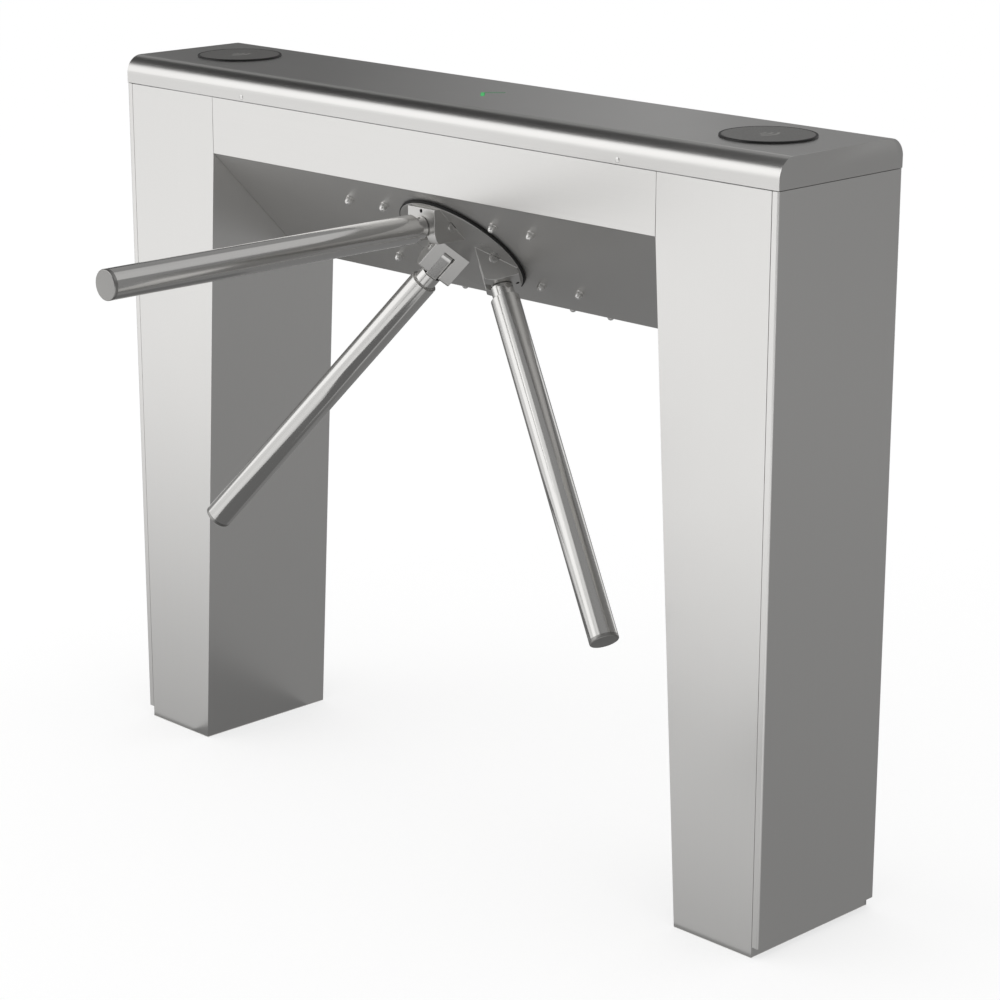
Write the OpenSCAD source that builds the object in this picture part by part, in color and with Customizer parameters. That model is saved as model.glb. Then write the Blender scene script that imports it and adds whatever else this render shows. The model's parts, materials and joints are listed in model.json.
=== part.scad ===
// Tripod turnstile: a bridge cabinet on two tapered legs, with a three-arm rotor on its 45 degree panel.
// Origin at the floor under the middle of the cabinet. +X along the cabinet, -Y towards the walkway, +Z up.

/* [Cabinet] */
// Overall length of the cabinet
length = 1200; // [1150:10:1300]
// Depth of the cabinet from front to back
depth = 225; // [215:1:250]
// Height of the joint between cabinet and lid
seam_z = 950; // [920:5:980]
// Height of the lid above that joint
lid_h = 38; // [36:1:50]
// Radius of the lid's two long edges
lid_round = 25; // [10:1:30]
// Thickness of the steel sheet
sheet = 2; // [1.5:0.1:2.5]
// Width of the open joint between neighbouring panels
seam = 0.5; // [0.4:0.1:1.2]

/* [Legs] */
// Width of each leg at the beam
leg_top_w = 188; // [180:1:200]
// Width of each leg at the floor
leg_foot_w = 138; // [130:1:160]
// How far the end cover wraps round the front and back
cover_wrap = 10; // [8:1:14]
// Outer radius of the end cover's bends
cover_round = 3; // [2.6:0.1:4]
// Height of the end cover's lower edge above the floor
cover_lift = 15; // [10:1:25]
// Thickness of the floor plate
base_t = 6; // [5:1:10]
// Diameter of the anchor holes
anchor_d = 14; // [10:1:18]
// Anchor spacing along the cabinet, within one leg
anchor_dx = 76; // [60:1:80]
// Anchor spacing across the cabinet
anchor_dy = 150; // [120:1:170]
// Diameter of the cable entry in the floor plate
cable_d = 50; // [30:1:60]
// Width of the inner corner posts
post_w = 25; // [20:1:30]
// Thickness of the posts and rails
post_t = 2.5; // [2:0.5:3.5]

/* [Beam] */
// Height of the front fascia
fascia_h = 78; // [70:1:90]
// Horizontal and vertical run of the 45 degree panel
panel_run = 160; // [150:1:170]
// Width of the top rails
rail_w = 24; // [20:1:28]
// Height of the top rails
rail_h = 30; // [26:1:36]

/* [Rotor] */
// Diameter of the hub's visible disc
hub_d = 186; // [184:1:190]
// Gap between the turning disc and the panel
hub_gap = 0.6; // [0.4:0.1:1]
// Thickness of the black band round the disc
band_w = 1.5; // [1:0.5:3]
// Height of the hub's face above the panel
hub_face = 5; // [4:0.5:6]
// Depth below the panel at which the three arm axes meet
apex_depth = 47; // [45:1:50]
// Radius of the arm pivots about the hub axis
pivot_r = 54; // [52:1:56]
// Diameter of the arm tubes
arm_d = 38; // [34:1:40]
// Wall of the arm tubes
arm_wall = 1.5; // [1:0.1:2.5]
// Distance from the meeting point of the arms to an arm's tip
arm_reach = 612; // [560:2:640]
// Thickness of the tongue at each arm's root
tongue_t = 16; // [14:0.5:18]
// Radius of the tongue's eye
eye_r = 12; // [11:0.5:12.5]
// Radius of the arm pivot pins
pin_r = 4; // [3:0.5:5]
// Radius of the hub's arm brackets about the pivot
bracket_r = 31; // [29:0.5:32]
// Width of each arm bracket
bracket_w = 50; // [40:1:52]

/* [Mechanism] */
// Length of the mechanism plate along the cabinet
plate_l = 380; // [370:5:400]
// Thickness of the mechanism plate
plate_t = 8; // [6:1:9]
// Radius of the main shaft
shaft_r = 15; // [12:0.5:16]
// Outer radius of the bearings
bearing_r = 31; // [28:0.5:33]
// Width of one bearing
bearing_w = 16; // [12:1:18]
// Radius of the lock wheel
wheel_r = 62; // [60:0.5:63]
// Number of lock positions in one turn
lock_count = 6; // [6:6:6]
// Angle through which a pawl swings into the wheel
pawl_swing = 7.3; // [6.5:0.1:7.5]
// Radial clearance of every running fit
run_fit = 0.05; // [0.02:0.01:0.1]

/* [Top] */
// Diameter of the round reader windows
reader_d = 118; // [100:1:130]
// Distance of each reader window from the middle of the lid
reader_x = 487; // [460:1:505]
// Height of the reader windows above the lid
reader_rise = 2.5; // [1:0.5:4]
// Length of each stroke of the arrow light
light_l = 32; // [24:1:40]
// Width of those strokes
light_w = 5; // [3:0.5:8]
// Position of the arrow light's tip along the lid
light_x = 4; // [-40:1:40]
// Distance of each lid screw from the middle of the lid
lid_screw_x = 349; // [320:1:370]

/* [Hidden] */
$fn = 48;

// Colours of the finishes
satin = [0.80, 0.80, 0.79];
polished = [0.55, 0.55, 0.54];
bright = [0.72, 0.72, 0.72];
zinc = [0.62, 0.63, 0.64];
cast = [0.50, 0.51, 0.53];
black = [0.06, 0.06, 0.06];
board_green = [0.05, 0.30, 0.15];

// Cabinet outline
hx = length / 2;
hy = depth / 2;
seat = 0.3;                              // clearance between seated pieces
top_z = seam_z - seam / 2;               // upper edge of the cabinet's sheets
lid_z = seam_z + seam / 2;               // lower edge of the lid
roof_z = seam_z + lid_h;                 // top of the lid
in_y = hy - sheet;                       // inner face of the front and back sheets
beam_x = hx - leg_top_w;                 // where the leg meets the beam
foot_x = hx - leg_foot_w;                // inner edge of the leg at the floor
shell_x = hx - cover_wrap - seam;        // outer edge of the leg shell
fascia_z = seam_z - fascia_h;            // lower edge of the front fascia
pan_z = fascia_z - panel_run;            // underside of the beam
pan_y = panel_run - hy;                  // where the 45 degree panel meets the underside
beam_end = beam_x - seam;                // ends of the beam's sheets
beam_foot = beam_end + (foot_x - beam_x) * panel_run / fascia_z;  // the same at the underside
rail_z = top_z + seat;                   // top of the rails, just above the sheets' edges
in_post_x = shell_x - sheet - 2 * seat;  // outer face of the corner posts
screw_zs = [150, seam_z - 80];           // heights of the end cover's screws
screw_r = 2.5;
lid_screw_z = lid_z + 5.6;
reader_deep = 6;                         // reach of a reader window below the sheet

// Hub frame: local Z points out of the panel along the rotor axis, local Y up the slope
hub_y = panel_run / 2 - hy;
hub_z = fascia_z - panel_run / 2;
root_half = sqrt(0.5);                   // sine and cosine of 45 degrees
hub_r = hub_d / 2;
hub_core_r = hub_r - 11;                 // the part that passes through the panel
hub_bolt_r = 26;                         // circle of the screws between hub and shaft
hole_r = hub_core_r + 2;                 // hole in the panel, hidden by the disc
pivot_w = pivot_r - apex_depth;          // height of the arm pivots above the panel
pivot_s = pivot_r / root_half;           // distance of a pivot from the arms' meeting point
slot_gap = 0.5;                          // beside the tongue
pocket_gap = 0.7;
bracket_top = 25.5;                      // from pivot to the bracket's upper face
bracket_low = 20;                        // and to its lower one, where the arm swings out
neck_at = bracket_r + 0.6;               // from pivot to neck along the arm
neck_l = 17;                             // neck between bracket and tube
neck_r = 15;
spigot_l = 30;
cap_l = 5;
hub_bevel = 0.8;

// Stations along the rotor axis, counted inwards from the panel's outer face
hub_back = -(eye_r - pivot_w + pocket_gap + 4.5);
plate_back = -(sheet + 0.2 + plate_t);
core_room = 2.5;
flange_back = hub_back - 6;
screw_back = flange_back - 4;
bearing1 = flange_back - 8;
bearing2_end = bearing1 - 46;
housing_end = bearing2_end;
act_t = 6;                               // thickness of the actuator plate
act_back = housing_end - act_t;
wheel_front = act_back - 6;
act_l = 316;                             // the actuator plate: length, lower edge, height
act_low = -52;
act_h = 124;
wheel_t = 10;
wheel_back = wheel_front - wheel_t;
disc_boss = 4.5;
disc_front = wheel_back - disc_boss;
disc_back = disc_front - 1.5;
thread_r = 10;
nut_t = 10;
housing_r = bearing_r + 13;
bore_step = 4;
plate_hole_r = hub_core_r + 4;
flange_r = plate_hole_r + 20;
flange_bolt_r = flange_r - 9;            // circle of the flange screws
rear_bolt_r = bearing_r + 6.5;           // circle of the screws that hold the actuator plate
flange_t = 10;
nut_xs = [-170, -102, 102, 170];
nut_slope = 63;                          // cap nuts above and below the hub's centre
stud_r = 3;
stud_l = 7;                              // length of a stud beyond the panel
under_nut_y = 70;

// Lock pawls
pawl_x = 70.5;                           // pivot, beside the wheel
pawl_y = 55;
pawl_t = 8;
tail_y = -27;
notch_w = 12.5;
notch_depth = 10;
tooth_w = 9.4;
tooth_tip = wheel_r - 5;
pawl_mid = wheel_front - wheel_t / 2;
pawl_pin_r = 4;
link_r = 2.5;
link_x = pawl_x + (pawl_y - tail_y) * sin(pawl_swing);
link_y = pawl_y - (pawl_y - tail_y) * (1 + cos(pawl_swing)) / 2;
rod_r = 6;
coil_x = 108;
coil_l = 42;
coil_w = 34;

// Places a shape in the hub frame
module at_hub() translate([0, hub_y, hub_z]) rotate([135, 0, 0]) children();

// Places a shape in an arm's frame: Z along the arm, X along its pivot, origin where the arms meet
module at_arm(turn) at_hub() rotate([0, 0, -turn]) translate([0, 0, -apex_depth]) rotate([-45, 0, 0]) children();

// Extrudes a front-view outline from y0 towards +Y
module front_plate(y0, t) translate([0, y0 + t, 0]) rotate([90, 0, 0]) linear_extrude(t) children();

// Extrudes a side-view outline (Y, Z) along X
module side_plate(x0, l) translate([x0, 0, 0]) rotate([90, 0, 90]) linear_extrude(l) children();

module mirror_y() { children(); mirror([0, 1, 0]) children(); }
module mirror_x() { children(); mirror([1, 0, 0]) children(); }

// Leg shells: tapered front, inner side and back, open towards the end cover
module leg_face() polygon([[foot_x, 0], [shell_x, 0], [shell_x, top_z], [beam_x, top_z], [beam_x, fascia_z]]);
module leg_shell() color(satin) {
    partition_z = top_z - rail_h - 4;
    wire_y = max(pan_y, 0) + 6;
    mirror_y() front_plate(-hy, sheet) leg_face();
    difference() {
        front_plate(-hy, depth) polygon([
            [foot_x, 0], [foot_x + sheet, 0], [beam_x + sheet, fascia_z],
            [beam_x + sheet, partition_z], [beam_x, partition_z], [beam_x, fascia_z]
        ]);
        translate([beam_x - 10, wire_y, fascia_z - 110]) cube([40, 36, 60]);
    }
}

// End covers: a pan whose long edges wrap round the leg
module cover_outline(inset) {
    r = cover_round - inset;
    w = cover_wrap;
    y = hy - inset;
    translate([-w - 1, -y + r]) square([w + 1 - inset, 2 * (y - r)]);
    translate([-w - 1, -y]) square([w + 1 - inset - r, 2 * y]);
    for (side = [-1, 1]) translate([-inset - r, side * (y - r)]) circle(r);
}
module end_cover() color(satin) {
    pan_h = top_z - cover_lift;
    block = [hx - sheet - in_post_x - seat, 14, 14];
    translate([hx, 0, cover_lift]) intersection() {
        linear_extrude(pan_h) difference() {
            cover_outline(0);
            cover_outline(sheet);
        }
        translate([-cover_wrap, -hy, 0]) cube([cover_wrap, depth, pan_h]);
    }
    for (z = screw_zs, side = [-1, 1])
        difference() {
            translate([in_post_x + seat, side * (in_y - 17) - 7, z - 7]) cube(block);
            translate([in_post_x - 1, side * (in_y - 17), z]) rotate([0, 90, 0]) cylinder(r = screw_r, h = 8);
        }
}
module cover_screws() color(zinc)
    mirror_x() for (z = screw_zs, side = [-1, 1])
        translate([in_post_x - post_t, side * (in_y - 17), z]) rotate([0, 90, 0]) {
            cylinder(r = screw_r, h = post_t + 6);
            translate([0, 0, -3]) cylinder(r = 4.5, h = 3);
        }

// Floor plates with anchor holes, a cable entry and an upturned outer edge
module base_plate() color(zinc) {
    x0 = foot_x + sheet + seat;
    x1 = shell_x - seat;
    hole_x = (foot_x + hx) / 2;
    difference() {
        translate([x0, -in_y + seat, 0]) cube([x1 - x0, 2 * (in_y - seat), base_t]);
        for (dx = [-1, 1], dy = [-1, 1])
            translate([hole_x + dx * anchor_dx / 2, dy * anchor_dy / 2, -1]) cylinder(d = anchor_d, h = base_t + 2);
        translate([hole_x, 0, -1]) cylinder(d = cable_d, h = base_t + 2);
    }
    translate([x1 - sheet, -in_y + seat, 0]) cube([sheet, 2 * (in_y - seat), cover_lift + 20]);
}

// Corner posts standing on the floor plate and carrying the top rails
module leg_posts() color(zinc)
    mirror_y() translate([0, 0, base_t]) difference() {
        h = rail_z - rail_h - seat - base_t;
        union() {
            translate([in_post_x - post_t, -in_y + seat, 0]) cube([post_t, post_w, h]);
            translate([in_post_x - post_w, -in_y + seat, 0]) cube([post_w, post_t, h]);
        }
        for (z = screw_zs)
            translate([in_post_x - post_t - 1, -in_y + 17, z - base_t]) rotate([0, 90, 0])
                cylinder(r = screw_r, h = post_t + 2);
    }

// Beam sheets between the legs; their ends follow the legs' inner faces
module beam_span() polygon([
    [-beam_foot, pan_z], [beam_foot, pan_z], [beam_end, fascia_z], [beam_end, top_z],
    [-beam_end, top_z], [-beam_end, fascia_z]
]);
module front_fascia() color(satin)
    translate([-beam_end, -hy, fascia_z]) cube([2 * beam_end, sheet, top_z - fascia_z]);
module rear_fascia() color(satin) front_plate(in_y, sheet) beam_span();
module beam_underpanel() color(polished) {
    drop = sheet * sqrt(2);              // vertical thickness of the sloping sheet
    edge = seat;                         // gap below the fascia
    back_y = in_y - seat;
    difference() {
        intersection() {
            side_plate(-hx, length) polygon([
                [-hy + edge, fascia_z - edge], [pan_y, pan_z], [back_y, pan_z], [back_y, pan_z + sheet],
                [pan_y + drop - sheet, pan_z + sheet], [-hy + edge + drop, fascia_z - edge]
            ]);
            front_plate(-depth, 2 * depth) beam_span();
        }
        at_hub() {
            translate([0, 0, -sheet - 1]) cylinder(r = hole_r, h = sheet + 2, $fn = 96);
            for (x = nut_xs, s = [-1, 1])
                translate([x, s * nut_slope, -sheet - 1]) cylinder(r = stud_r + 0.5, h = sheet + 2);
        }
        for (x = nut_xs) translate([x, under_nut_y, pan_z - 1]) cylinder(r = stud_r + 0.5, h = sheet + 2);
    }
}

// Top rails: angle sections the lid rests on, the front one with open notches for the lid screws
module rail() color(zinc) {
    x = hx - sheet - 12;
    translate([-x, -in_y + seat, rail_z - rail_h]) cube([2 * x, post_t, rail_h]);
    translate([-x, -in_y + seat, rail_z - post_t]) cube([2 * x, rail_w, post_t]);
}
module top_rail_front() color(zinc) {
    rail();
    for (s = [-1, 1]) difference() {
        translate([s * lid_screw_x - 8, -in_y + seat + post_t, rail_z - post_t]) cube([16, post_t, post_t + 11]);
        translate([s * lid_screw_x - 2.3, -in_y, lid_screw_z - 2.6]) cube([4.6, 20, 20]);
    }
}
module top_rail_rear() mirror([0, 1, 0]) rail();

// Domed nuts on the studs of the mechanism plate
module cap_nut() difference() {
    washer_t = 1;
    hex_h = 4;
    dome_r = 4.6;
    union() {
        cylinder(r = 6, h = washer_t);
        translate([0, 0, washer_t]) cylinder(r = 5.6, h = hex_h, $fn = 6);
        intersection() {
            cylinder(r = dome_r, h = 2 * dome_r);
            translate([0, 0, washer_t + hex_h]) sphere(r = dome_r, $fn = 40);
        }
    }
    translate([0, 0, -1]) cylinder(r = stud_r, h = stud_l + 1);
}
module cap_nuts() color(bright) {
    at_hub() for (x = nut_xs, s = [-1, 1]) translate([x, s * nut_slope, 0]) cap_nut();
    for (x = nut_xs) translate([x, under_nut_y, pan_z]) rotate([180, 0, 0]) cap_nut();
}

// Mechanism plate behind the sloping panel, with welded studs and a foot on the beam's underside
module mechanism_plate() color(zinc) {
    low = -(panel_run / 2) / root_half - 12;
    high = 104;
    difference() {
        at_hub() translate([-plate_l / 2, low, plate_back]) cube([plate_l, high - low, plate_t]);
        at_hub() translate([0, 0, plate_back - 1]) cylinder(r = plate_hole_r, h = plate_t + 2, $fn = 96);
        at_hub() for (a = [0:60:300]) rotate([0, 0, a])
            translate([flange_bolt_r, 0, plate_back - 1]) cylinder(r = 3, h = plate_t + 2);
        translate([-plate_l, -depth, pan_z - 50]) cube([2 * plate_l, 2 * depth, 50 + sheet + 0.2]);
    }
    translate([-plate_l / 2, pan_y + 8, pan_z + sheet + 0.2]) cube([plate_l, in_y - pan_y - 18, 6]);
    at_hub() for (x = nut_xs, s = [-1, 1])
        translate([x, s * nut_slope, -sheet - 0.3]) cylinder(r = stud_r, h = sheet + 0.3 + stud_l);
    for (x = nut_xs) translate([x, under_nut_y, pan_z - stud_l]) cylinder(r = stud_r, h = stud_l + sheet + 0.3);
}

// Bearing housing: flange, tube and the seats of two bearings
module bearing_housing() color(cast) at_hub() difference() {
    rotate_extrude($fn = 96) polygon([
        [hub_core_r + 2, plate_back], [flange_r, plate_back], [flange_r, plate_back - flange_t],
        [housing_r, plate_back - flange_t], [housing_r, housing_end], [bearing_r, housing_end],
        [bearing_r, housing_end + bearing_w], [bearing_r - bore_step, housing_end + bearing_w],
        [bearing_r - bore_step, bearing1 - bearing_w], [bearing_r, bearing1 - bearing_w],
        [bearing_r, bearing1], [38, bearing1], [38, hub_back - core_room],
        [hub_core_r + 2, hub_back - core_room]
    ]);
    for (a = [0:60:300]) rotate([0, 0, a])
        translate([flange_bolt_r, 0, plate_back - flange_t - 1]) cylinder(r = 3, h = 12);
    for (a = [45:90:315]) rotate([0, 0, a])
        translate([rear_bolt_r, 0, housing_end - 1]) cylinder(r = screw_r, h = 13);
}
module bearing(z1) color(bright) at_hub() translate([0, 0, z1 - bearing_w]) rotate_extrude($fn = 96) {
    b = shaft_r + run_fit;
    polygon([
        [b, 0], [b + 4, 0], [b + 4, 1], [bearing_r - 4, 1], [bearing_r - 4, 0], [bearing_r, 0],
        [bearing_r, bearing_w], [bearing_r - 4, bearing_w], [bearing_r - 4, bearing_w - 1],
        [b + 4, bearing_w - 1], [b + 4, bearing_w], [b, bearing_w]
    ]);
}
module front_bearing() bearing(bearing1);
module rear_bearing() bearing(housing_end + bearing_w);
module housing_screws() color(zinc) at_hub() {
    for (a = [0:60:300]) rotate([0, 0, a]) translate([flange_bolt_r, 0, plate_back - flange_t]) {
        cylinder(r = 3, h = flange_t + plate_t - 1);
        translate([0, 0, -5]) cylinder(r = 5, h = 5);
    }
    for (a = [45:90:315]) rotate([0, 0, a]) translate([rear_bolt_r, 0, act_back]) {
        cylinder(r = screw_r, h = 16);
        translate([0, 0, -3]) cylinder(r = 4.5, h = 3);
    }
}

// Plate on the back of the housing that carries the pawls, solenoids and sensor
module actuator_plate() color(zinc) at_hub() difference() {
    translate([-act_l / 2, act_low, act_back]) cube([act_l, act_h, act_t]);
    translate([0, 0, act_back - 1]) cylinder(r = shaft_r + 6, h = act_t + 2);
    for (a = [45:90:315]) rotate([0, 0, a])
        translate([rear_bolt_r, 0, act_back - 1]) cylinder(r = screw_r, h = act_t + 2);
    mirror_x() translate([pawl_x, pawl_y, act_back - 1]) cylinder(r = pawl_pin_r, h = act_t + 2);
}

// Rotor: a disc with three slotted brackets, in each of which an arm's tongue swings
module at_pivot() translate([0, pivot_r, pivot_w]) rotate([0, 90, 0]) children();
module bracket_outline() {
    reach = 80;
    foot = 2;                            // height above the panel at which it joins the disc
    intersection() {
        translate([-reach, -reach]) square([reach + pivot_w - foot, 2 * reach]);
        rotate(135) intersection() {
            union() {
                circle(bracket_r);
                translate([-reach, -bracket_r]) square([reach, 2 * bracket_r]);
                translate([-1, -bracket_r]) square([bracket_r + 1, bracket_r]);
            }
            translate([-reach, -bracket_top]) square([2 * reach, bracket_top + bracket_low]);
        }
    }
}
module arm_bracket() at_pivot() {
    linear_extrude(bracket_w, center = true) bracket_outline();
    cylinder(r = eye_r, h = bracket_w, center = true);
}
module pocket() {
    w = tongue_t + 2 * slot_gap;
    r = eye_r + pocket_gap;
    half = r - 0.2;
    at_pivot() linear_extrude(w, center = true) union() {
        circle(r);
        for (lean = [-45, 0, 45]) rotate(lean) translate([-60, -half]) square([60, 2 * half]);
    }
}
module stop_screw_hole() at_pivot() rotate([0, 0, 135])
    translate([bracket_r - 4, -(bracket_top - 4), 0]) rotate([0, 90, 0]) cylinder(r = screw_r, h = 5);
module hub_disc() color(polished) at_hub() difference() {
    bevel_w = 4;
    union() {
        rotate_extrude($fn = 144) polygon([
            [0, hub_back], [hub_core_r, hub_back], [hub_core_r, hub_gap], [hub_r, hub_gap],
            [hub_r, hub_face - hub_bevel], [hub_r - bevel_w, hub_face], [0, hub_face]
        ]);
        for (turn = [0, 120, 240]) rotate([0, 0, turn]) arm_bracket();
    }
    for (turn = [0, 120, 240]) rotate([0, 0, turn]) {
        pocket();
        stop_screw_hole();
        at_pivot() cylinder(r = pin_r, h = bracket_w + 2, center = true);
        for (s = [-1, 1]) at_pivot() translate([0, 0, s * (bracket_w / 2 + 1.2)])
            cylinder(r = pin_r + 3, h = 2.4, center = true);
    }
    for (a = [0:60:300]) rotate([0, 0, a]) translate([hub_bolt_r, 0, hub_back - 1]) cylinder(r = screw_r, h = 9);
}
module hub_band() color(black) at_hub() rotate_extrude($fn = 144) polygon([
    [hub_r, hub_gap], [hub_r + band_w, hub_gap], [hub_r + band_w, hub_face - hub_bevel - 0.4],
    [hub_r, hub_face - hub_bevel]
]);
module hub_screws() color(zinc) at_hub() for (a = [0:60:300]) rotate([0, 0, a])
    translate([hub_bolt_r, 0, screw_back]) {
        cylinder(r = 4.2, h = flange_back - screw_back);
        cylinder(r = screw_r, h = 16);
    }
module arm_pivot_pins() color(bright) at_hub() for (turn = [0, 120, 240]) rotate([0, 0, turn])
    at_pivot() {
        cylinder(r = pin_r, h = bracket_w, center = true);
        for (s = [-1, 1]) translate([0, 0, s * (bracket_w / 2 + 0.75)])
            cylinder(r = pin_r + 2.5, h = 1.5, center = true);
    }
module main_shaft() color(bright) at_hub() difference() {
    rotate_extrude($fn = 96) polygon([
        [0, hub_back], [34, hub_back], [34, flange_back], [20, flange_back], [20, bearing1 + 0.2],
        [shaft_r, bearing1 + 0.2], [shaft_r, disc_back], [thread_r, disc_back],
        [thread_r, disc_back - nut_t - 4], [thread_r - 1.5, disc_back - nut_t - 5.5], [0, disc_back - nut_t - 5.5]
    ]);
    for (a = [0:60:300]) rotate([0, 0, a]) translate([hub_bolt_r, 0, flange_back - 1]) cylinder(r = screw_r, h = 8);
}
module lock_wheel() color(cast) at_hub() difference() {
    union() {
        translate([0, 0, wheel_back]) cylinder(r = wheel_r, h = wheel_t, $fn = 96);
        translate([0, 0, wheel_front]) cylinder(r = shaft_r + 4, h = housing_end - 0.4 - wheel_front);
    }
    translate([0, 0, wheel_back - 1]) cylinder(r = shaft_r, h = 40, $fn = 96);
    for (i = [0:lock_count - 1]) rotate([0, 0, i * 360 / lock_count])
        translate([wheel_r - notch_depth, -notch_w / 2, wheel_back - 1]) cube([notch_depth + 2, notch_w, wheel_t + 2]);
}
module encoder_disc() color(black) at_hub() difference() {
    union() {
        translate([0, 0, disc_front]) cylinder(r = shaft_r + 4, h = disc_boss);
        translate([0, 0, disc_back]) cylinder(r = 45, h = disc_front - disc_back, $fn = 72);
    }
    translate([0, 0, disc_back - 1]) cylinder(r = shaft_r, h = 10, $fn = 96);
    for (a = [0:30:330]) rotate([0, 0, a]) translate([36, -2, disc_back - 1]) cube([6, 4, 5]);
}
module shaft_nut() color(bright) at_hub() translate([0, 0, disc_back - nut_t]) difference() {
    cylinder(r = 17, h = nut_t, $fn = 6);
    translate([0, 0, -1]) cylinder(r = thread_r, h = nut_t + 2, $fn = 96);
}

// Arms
module arm_root(turn) color(bright) at_arm(turn) difference() {
    spigot_r = arm_d / 2 - arm_wall;
    union() {
        translate([-tongue_t / 2, 0, pivot_s]) rotate([0, 90, 0]) cylinder(r = eye_r, h = tongue_t);
        translate([-tongue_t / 2, -eye_r, pivot_s]) cube([tongue_t, 2 * eye_r, neck_at + 1]);
        translate([0, 0, pivot_s + neck_at]) cylinder(r = neck_r, h = neck_l + 1);
        translate([0, 0, pivot_s + neck_at + neck_l]) cylinder(r = spigot_r, h = spigot_l);
    }
    translate([-tongue_t, 0, pivot_s]) rotate([0, 90, 0]) cylinder(r = pin_r + run_fit, h = 2 * tongue_t);
}
module arm_tube(turn) color(bright) at_arm(turn) difference() {
    z0 = pivot_s + neck_at + neck_l;
    translate([0, 0, z0]) cylinder(d = arm_d, h = arm_reach - cap_l - z0);
    translate([0, 0, z0 - 1]) cylinder(d = arm_d - 2 * arm_wall, h = arm_reach);
}
module arm_cap(turn) color(satin) at_arm(turn) {
    r = arm_d / 2;
    translate([0, 0, arm_reach - cap_l]) rotate_extrude() polygon([
        [0, 0], [r - arm_wall - 2, 0], [r - arm_wall - 2, -14], [r - arm_wall, -14], [r - arm_wall, 0],
        [r, 0], [r, cap_l - 1.5], [r - 1.5, cap_l], [0, cap_l]
    ]);
}

// Pawls are drawn locked and turned back to their released rest
module at_pawl() translate([pawl_x, pawl_y, 0]) rotate([0, 0, pawl_swing]) translate([-pawl_x, -pawl_y, 0]) children();
module pawl() color(cast) at_hub() at_pawl() translate([0, 0, pawl_mid - pawl_t / 2]) linear_extrude(pawl_t)
    difference() {
        union() {
            translate([pawl_x, pawl_y]) circle(10);
            translate([pawl_x - 5, tail_y]) square([10, pawl_y - tail_y]);
            translate([pawl_x, tail_y]) circle(5.5);
            translate([tooth_tip, -tooth_w / 2]) square([pawl_x - tooth_tip, tooth_w]);
        }
        translate([pawl_x, pawl_y]) circle(pawl_pin_r + run_fit);
        translate([pawl_x - link_r - 0.3, tail_y - 0.8]) square([2 * link_r + 0.6, 1.6]);
        for (s = [-1, 1]) translate([pawl_x, tail_y + s * 0.8]) circle(link_r + 0.3);
    }
module pawl_pivots() color(bright) mirror_x() at_hub() translate([pawl_x, pawl_y, 0]) {
    mid = pawl_mid - pawl_t / 2;
    translate([0, 0, mid - 3.3]) cylinder(r = pawl_pin_r, h = act_back + act_t - mid + 3.3);
    translate([0, 0, mid - 3.3]) cylinder(r = 6.5, h = 3);
    translate([0, 0, pawl_mid + pawl_t / 2 + 0.3]) cylinder(r = 6.5, h = act_back - pawl_mid - pawl_t / 2 - 0.3);
}
module solenoid() color(black) at_hub() difference() {
    yoke_t = 3;
    yoke_h = 27;
    union() {
        for (x = [coil_x, coil_x + coil_l - yoke_t])
            translate([x, link_y - coil_w / 2, act_back - yoke_h]) cube([yoke_t, coil_w, yoke_h]);
        translate([coil_x, link_y - coil_w / 2, act_back - yoke_t]) cube([coil_l, coil_w, yoke_t]);
        translate([coil_x + yoke_t, link_y, pawl_mid]) rotate([0, 90, 0]) cylinder(r = 10.6, h = coil_l - 2 * yoke_t);
    }
    translate([coil_x - 1, link_y, pawl_mid]) rotate([0, 90, 0]) cylinder(r = rod_r + run_fit, h = coil_l - 2);
}
module plunger() color(bright) at_hub() {
    cheek = [17, 12, 3];
    web_t = 5;
    rod_l = 45;
    half = pawl_t / 2 + 0.6;             // half of the gap between the cheeks
    low = pawl_mid - half - cheek.z;
    web_x = link_x + 7;
    for (z = [low, pawl_mid + half]) translate([link_x - 5, link_y - cheek.y / 2, z]) cube(cheek);
    translate([web_x, link_y - cheek.y / 2, low]) cube([web_t, cheek.y, 2 * (half + cheek.z)]);
    translate([web_x + web_t - 1, link_y, pawl_mid]) rotate([0, 90, 0]) cylinder(r = rod_r, h = rod_l);
    translate([link_x, link_y, low]) cylinder(r = link_r, h = 2 * (half + cheek.z));
}
module position_sensor() color(board_green) at_hub() {
    fork_w = 10;
    fork_y = 36;
    board_y = 32;
    wall_y = wheel_r + 2.5;
    wall_t = 4;
    back = disc_back - 8;
    translate([-12, wall_y, back]) cube([24, wall_t, act_back - back]);
    translate([-20, board_y, back]) cube([40, wall_y + wall_t - board_y, 2]);
    translate([-fork_w / 2, fork_y, back]) cube([fork_w, 9, 6.5]);
    translate([-fork_w / 2, 46.5, back]) cube([fork_w, 17, disc_front + 2.5 - back]);
    translate([-fork_w / 2, fork_y, disc_front + 0.9]) cube([fork_w, 12, 1.6]);
}

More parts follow.
